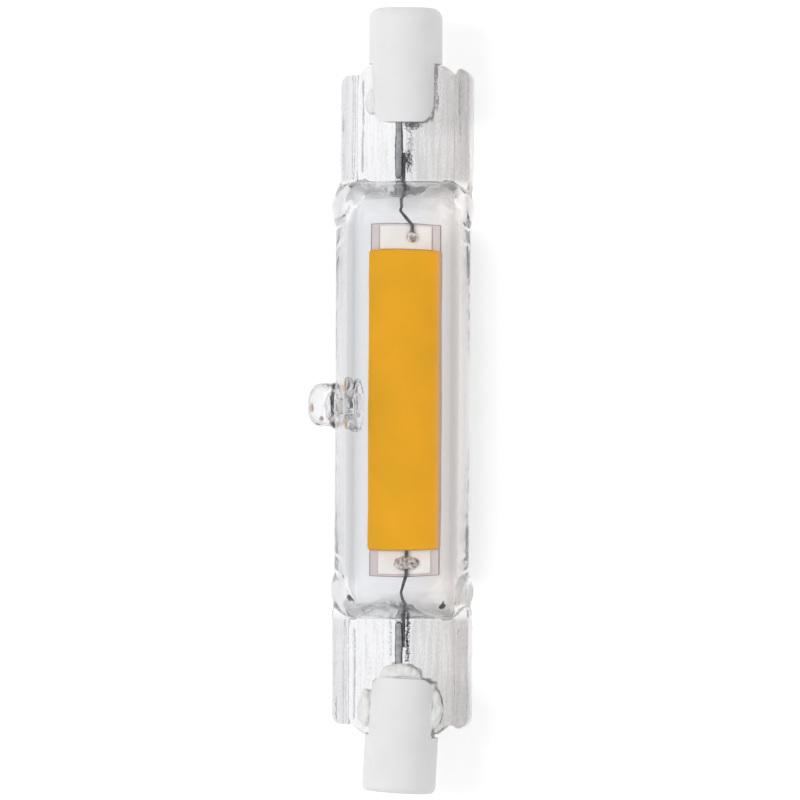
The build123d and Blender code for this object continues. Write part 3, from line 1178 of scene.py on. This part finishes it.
@dataclass
class Lumpy:
    """A poured or dabbed piece: a solid of the frame with its edges flowed and its surface uneven."""

    node: str
    name: str
    slot: str
    finish: Matte
    voxel: float
    smoothing: int
    lumps: tuple[tuple[Triple, float], ...]
    spread: Triple = (1, 1, 1)

    def build(self) -> Piece:
        """The piece in place of its solid, spread about its middle.

        Returns:
            The finished piece.
        """
        piece = copy_solid(self.node, self.name)
        low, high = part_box(self.node)
        take(piece)
        bpy.ops.object.mode_set(mode="EDIT")
        bpy.ops.mesh.select_all(action="SELECT")
        bpy.ops.transform.resize(value=self.spread, center_override=tuple((low + high) / 2))
        bpy.ops.object.mode_set(mode="OBJECT")
        modify(piece, "REMESH", mode="VOXEL", voxel_size=self.voxel * MM)
        modify(piece, "SMOOTH", factor=0.5, iterations=self.smoothing)
        for size, depth in self.lumps:
            roughen(piece, size, depth)
        smooth(piece, 60)
        dress(piece, self.finish.material())
        seat(piece, self.slot, self.node)
        return piece


@dataclass
class Grains:
    """Small grains scattered about a point: weld spatter, specks in the glass, painted shade and painted
    highlights.
    """

    name: str
    slot: str
    finish: Matte
    middle: Triple
    spread: Triple
    count: int
    smallest: float
    largest: float
    seed: int
    even: bool = False

    def build(self) -> Piece:
        """All grains as one piece, spread evenly along the lamp or gathered about the middle.

        Returns:
            The finished piece.
        """
        chance = Random(self.seed)
        clear_selection()
        bpy.ops.mesh.primitive_ico_sphere_add(subdivisions=2, radius=1)
        first = settle(bpy.context.object, self.name)
        modify(first, "CAST", factor=-0.25, cast_type="CUBOID")
        grains = [first]
        for _ in range(self.count - 1):
            grain = bpy.data.objects.new(self.name, first.data.copy())
            bpy.context.scene.collection.objects.link(grain)
            grains.append(grain)
        for grain in grains:
            size = chance.uniform(self.smallest, self.largest) * MM
            shifts = [max(-1.1, min(1.1, chance.gauss(0, 0.5))) for _ in self.spread]
            if self.even:
                shifts[0] = chance.uniform(-1, 1)
            grain.location = [
                (place + shift * reach) * MM for place, shift, reach in zip(self.middle, shifts, self.spread)
            ]
            grain.rotation_euler = [chance.uniform(0, pi) for _ in range(3)]
            grain.scale = (size * chance.uniform(1, 1.8), size, size * chance.uniform(0.6, 1))
        piece = join(grains, self.name)
        smooth(piece, 50)
        dress(piece, self.finish.material())
        seat(piece, self.slot)
        return piece


@dataclass
class Inclusion:
    """One lump caught in the glass, narrowed towards the lamp's left end."""

    name: str
    slot: str
    finish: Matte
    middle: Triple
    size: Triple
    pinch: float

    def build(self) -> Piece:
        """The lump.

        Returns:
            The finished piece.
        """
        clear_selection()
        bpy.ops.mesh.primitive_ico_sphere_add(subdivisions=3, radius=0.5)
        lump = bpy.context.object
        lump.scale = [value * MM for value in self.size]
        lump.location = [value * MM for value in self.middle]
        settle(lump, self.name)
        bpy.ops.object.mode_set(mode="EDIT")
        low = (self.middle[0] - 0.05 * self.size[0]) * MM
        pick(lump, "VERT", lambda place: place.x < low)
        middle = [value * MM for value in self.middle]
        bpy.ops.transform.resize(value=(1, self.pinch, 1), center_override=middle)
        bpy.ops.object.mode_set(mode="OBJECT")
        modify(lump, "SMOOTH", factor=0.5, iterations=2)
        roughen(lump, (0.2, 0.2, 0.2), 0.08)
        smooth(lump, 60)
        dress(lump, self.finish.material())
        seat(lump, self.slot)
        return lump


# Studio


@dataclass
class Studio:
    """Pale floor, soft lamps and the camera at the photo's viewing angle."""

    view_span: float = 79.6
    view_turn: float = 7.0
    view_roll: float = 0.3
    view_shift: float = 0.24
    distance: float = 0.8
    ambient: float = 0.55
    inside_extra: float = 0.5
    floor_glow: float = 0.47
    room_cool: Triple = (0.7, 0.72, 0.75)
    room_warm: Triple = (0.74, 0.7, 0.68)
    room_top: float = 0.05
    room_top_turned: float = 0.3
    room_top_deep: float = 0.16
    ceiling_reach: tuple[float, float] = (0.3, 0.46)
    side_reach: tuple[float, float] = (0.3, 0.7)
    floor_tone: tuple[float, float, float, float] = (0.8, 0.8, 0.8, 1)
    looks_through: int = 24

    def floor(self) -> None:
        """A wide white floor that keeps the lamp's shadow and shows white behind it."""
        clear_selection()
        bpy.ops.mesh.primitive_plane_add(size=3, location=(0, 0, cad_box[0][2]))
        floor = settle(bpy.context.object, "floor")
        tree = Tree("floor_white")
        seen = tree.set(tree.add("BsdfDiffuse"), Color=self.floor_tone)
        glow = tree.set(tree.add("Emission"), Color=(1, 1, 1, 1), Strength=self.floor_glow)
        both = tree.add("AddShader")
        tree.link(seen.outputs[0], both.inputs[0])
        tree.link(glow.outputs[0], both.inputs[1])
        plain = tree.set(tree.add("BsdfDiffuse"), Color=self.floor_tone)
        mix = tree.add("MixShader")
        tree.link(self.direct_look(tree), mix.inputs["Fac"])
        tree.link(plain.outputs[0], mix.inputs[1])
        tree.link(both.outputs[0], mix.inputs[2])
        dress(floor, tree.finish(mix))

    @staticmethod
    def mirrored_look(tree: Tree) -> Socket:
        """One where the camera looks by way of a reflection or through glass.

        Args:
            tree: the tree of a floor or world.

        Returns:
            The socket that gives it.
        """
        path = tree.add("LightPath")
        either = tree.add("Math", operation="MAXIMUM")
        tree.link(path.outputs["Is Glossy Ray"], either.inputs[0])
        tree.link(path.outputs["Is Transmission Ray"], either.inputs[1])
        direct = tree.math("LESS_THAN", path.outputs["Diffuse Depth"], 0.5)
        return tree.math("MULTIPLY", either.outputs[0], direct)

    @staticmethod
    def direct_look(tree: Tree) -> Socket:
        """One where the camera looks straight, by way of a reflection or through glass."""
        path = tree.add("LightPath")
        return tree.math("MAXIMUM", Studio.mirrored_look(tree), path.outputs["Is Camera Ray"])

    def room(self, tree: Tree) -> Socket:
        """What the glass mirrors: pale walls, cool on one side and warm on the other, under a dark ceiling.

        The ceiling is dark in a first mirror image, and less so where that lies behind one glass wall or
        more. It is as pale as the walls where thick glass turns the look round several times.

        Args:
            tree: the world's tree.

        Returns:
            The socket that gives the colour.
        """
        coordinates = tree.add("TexCoord")
        parts = tree.add("SeparateXYZ")
        tree.link(coordinates.outputs["Generated"], parts.inputs[0])
        side = tree.math("ADD", tree.math("MULTIPLY", parts.outputs["Y"], 0.5), 0.5)
        walls = tree.ramp(side, *self.side_reach, self.room_cool, self.room_warm)
        path = tree.add("LightPath")
        ceiling = None
        start, full = self.ceiling_reach
        for passes, level in ((0.0, self.room_top), (1.5, self.room_top_turned), (3.5, self.room_top_deep)):
            height = tree.bands(parts.outputs["Z"], (start, 1.0), (full, level / self.room_cool[0]))
            tone = tree.tinted(walls, height)
            deeper = tree.math("GREATER_THAN", path.outputs["Transmission Depth"], passes)
            ceiling = tone if ceiling is None else tree.blend(deeper, ceiling, tone)
        first = tree.math("LESS_THAN", path.outputs["Glossy Depth"], 1.5)
        return tree.blend(first, walls, ceiling)

    def world(self) -> None:
        """A world that is white to look at, lights the lamp at a plain level and is a room to the glass."""
        world = bpy.data.worlds.new("studio")
        bpy.context.scene.world = world
        tree = Tree.of_world(world)
        white = (1, 1, 1, 1)
        path = tree.add("LightPath")
        light = tree.set(tree.add("Background"), Color=white)
        inside = tree.math("MULTIPLY", path.outputs["Is Transmission Ray"], self.inside_extra)
        tree.link(tree.math("ADD", inside, self.ambient), light.inputs["Strength"])
        seen = tree.set(tree.add("Background"), Color=white)
        around = tree.add("Background")
        tree.link(self.room(tree), around.inputs["Color"])
        first, second = tree.add("MixShader"), tree.add("MixShader")
        tree.link(self.mirrored_look(tree), first.inputs["Fac"])
        tree.link(light.outputs[0], first.inputs[1])
        tree.link(around.outputs[0], first.inputs[2])
        tree.link(path.outputs["Is Camera Ray"], second.inputs["Fac"])
        tree.link(first.outputs[0], second.inputs[1])
        tree.link(seen.outputs[0], second.inputs[2])
        tree.link(second.outputs[0], tree.output.inputs["Surface"])

    @staticmethod
    def lamp(name: str, place: Triple, size: tuple[float, float], power: float) -> None:
        """A soft rectangular lamp aimed at the middle of the bulb, with no mirror image of its own.

        Args:
            name: the lamp's name.
            place: where it stands, in metres.
            size: its two sides, in metres, the first along X.
            power: its power in watts.
        """
        data = bpy.data.lights.new(name, "AREA")
        data.shape = "RECTANGLE"
        data.size, data.size_y = size
        data.energy = power
        lamp = bpy.data.objects.new(name, data)
        lamp.visible_glossy = False
        lamp.visible_transmission = False
        lamp.location = place
        lamp.rotation_euler = (-Vector(place)).to_track_quat("-Z", "X").to_euler()
        bpy.context.scene.collection.objects.link(lamp)

    def camera(self) -> None:
        """A long lens above the lamp, turned a little away from the tip, with the left end up."""
        data = bpy.data.cameras.new("camera")
        data.lens = data.sensor_width * self.distance / (self.view_span * MM)
        data.clip_end = 10
        data.shift_x = -self.view_shift / self.view_span
        camera = bpy.data.objects.new("camera", data)
        turn = radians(self.view_turn)
        back = Vector((0, sin(turn), cos(turn)))
        camera.location = back * self.distance
        roll = radians(self.view_roll)
        up = Vector((-cos(roll), 0, 0)) + back.cross(Vector((-1, 0, 0))) * sin(roll)
        right = up.cross(back).normalized()
        up = back.cross(right)
        bpy.context.scene.collection.objects.link(camera)
        camera.rotation_euler = Matrix((right, up, back)).transposed().to_euler()
        bpy.context.scene.camera = camera

    def build(self) -> None:
        """Floor, world, lamps and camera."""
        self.floor()
        self.world()
        self.lamp("key", (-0.1, -0.5, 0.6), (0.5, 0.3), 2.4)
        self.lamp("fill", (0.1, 0.6, 0.5), (0.5, 0.25), 0.8)
        self.camera()
        scene = bpy.context.scene
        scene.view_settings.view_transform = "Standard"
        scene.cycles.max_bounces = self.looks_through
        scene.cycles.transmission_bounces = self.looks_through
        scene.cycles.glossy_bounces = self.looks_through


def plan_box(node: str) -> tuple[float, float, float, float]:
    """A solid's middle and half sizes along X and Y, in millimetres.

    Args:
        node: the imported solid's name.

    Returns:
        The middle's X and Y, then the half sizes along X and Y.
    """
    low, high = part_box(node)
    middle, half = (low + high) / 2 / MM, (high - low) / 2 / MM
    return middle.x, middle.y, half.x, half.y


def main() -> None:
    """Build the lamp's pieces in order, dress the solids that stay, and set up the studio."""
    logging.basicConfig(level=logging.INFO, format="%(name)s %(message)s")
    Envelope().build()
    for lumpy in (
        Lumpy("left_cement", "left_cement_fill", "white_cement", CEMENT, 0.12, 3, (((0.9, 0.9, 0.9), 0.3),)),
        Lumpy(
            "right_cement", "right_cement_fill", "white_cement", CEMENT, 0.12, 3,
            (((1.6, 1.2, 1.2), 0.7), ((0.4, 0.3, 0.4), 0.12)), (1.06, 1.1, 1),
        ),
        Lumpy("phosphor_coat", "coat_gel", "phosphor_silicone", COAT, 0.16, 4, (((6, 3, 3), 0.1),)),
        Lumpy("left_solder", "left_solder_bead", "solder", SOLDER_PAINTED_GLINTS, 0.05, 3, (((0.5, 0.5, 0.5), 0.12),)),
        Lumpy("right_solder", "right_solder_lens", "solder", SOLDER_PAINTED_GLINTS, 0.05, 3, (((0.7, 0.6, 0.6), 0.14),)),
    ):
        lumpy.build()
    for grains in (
        Grains(
            "left_weld_grains", "lead_metal", SPATTER, (-23.8, 0.5, 0.3), (1.05, 0.42, 0.1), 420, 0.018,
            0.05, 3,
        ),
        Grains(
            "left_weld_haze", "lead_metal", SMUDGE_AND_SHADE, (-25.2, 0.75, 0.1), (2.4, 0.45, 0.1), 420, 0.015,
            0.04, 4,
        ),
        # Grey grains under the left cap's nose are painted shade, where the cap's slot lies in shadow.
        Grains(
            "left_nose_painted_shade", "lead_metal", SMUDGE_AND_SHADE, (-27.4, 0.95, 0.1), (0.5, 0.85, 0.1), 520, 0.02,
            0.05, 6,
        ),
        Grains(
            "right_weld_grains", "lead_metal", SPATTER, (23.5, 0.72, 0.2), (2.5, 0.2, 0.1), 480, 0.02, 0.055, 5,
            even=True,
        ),
        Grains(
            "right_seam_grains", "lead_metal", SMUDGE_AND_SHADE, (23.1, -1.0, 0.2), (2.3, 0.12, 0.1), 170, 0.015, 0.04, 8,
            even=True,
        ),
        # White specks beside the left prong are painted highlights, the cement's wet glints.
        Grains(
            "left_cement_painted_highlights", "white_cement", CEMENT, (-30.6, 3.35, 1.5), (1.7, 0.22, 0.1), 46, 0.04,
            0.11, 11, even=True,
        ),
    ):
        grains.build()
    for inclusion in (
        Inclusion("glass_speck", "lead_metal", SPECK, (20.15, 4.45, 3.4), (1.0, 0.8, 0.2), 0.25),
        Inclusion("left_cement_bead", "white_cement", CEMENT, (-29.6, -2.95, 1.8), (2.6, 1.5, 1.3), 0.8),
        Inclusion("tip_speck_outer", "contact_metal", TAN, (0.8, -8.85, 1.8), (0.9, 0.5, 0.2), 0.7),
        Inclusion("tip_speck_inner", "contact_metal", TAN, (1.85, -7.9, 1.55), (0.55, 0.5, 0.2), 0.8),
    ):
        inclusion.build()
    rods = ("left_outer_lead", "right_outer_lead")
    finishes = {
        CAP_CERAMIC: ("left_cap", "right_cap"),
        STRIP: ("led_substrate",),
        SILVER: ("left_pad", "right_pad"),
        # The rods' dark outlines are painted shade along their sides.
        replace(LEAD, lined=tuple(plan_box(rod) for rod in rods)): rods,
        WIRE: ("left_inner_lead", "right_inner_lead"),
        NICKEL: ("left_contact", "right_contact"),
        CHIP: ("led_chips",),
        SILICON: ("rectifier_die", "regulator_die"),
    }
    for finish, nodes in finishes.items():
        material = finish.material()
        for node in nodes:
            dress(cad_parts[node], material)
            log.info("%s dressed in %s", node, finish.name)
    Studio().build()


if __name__ == "__main__":
    main()
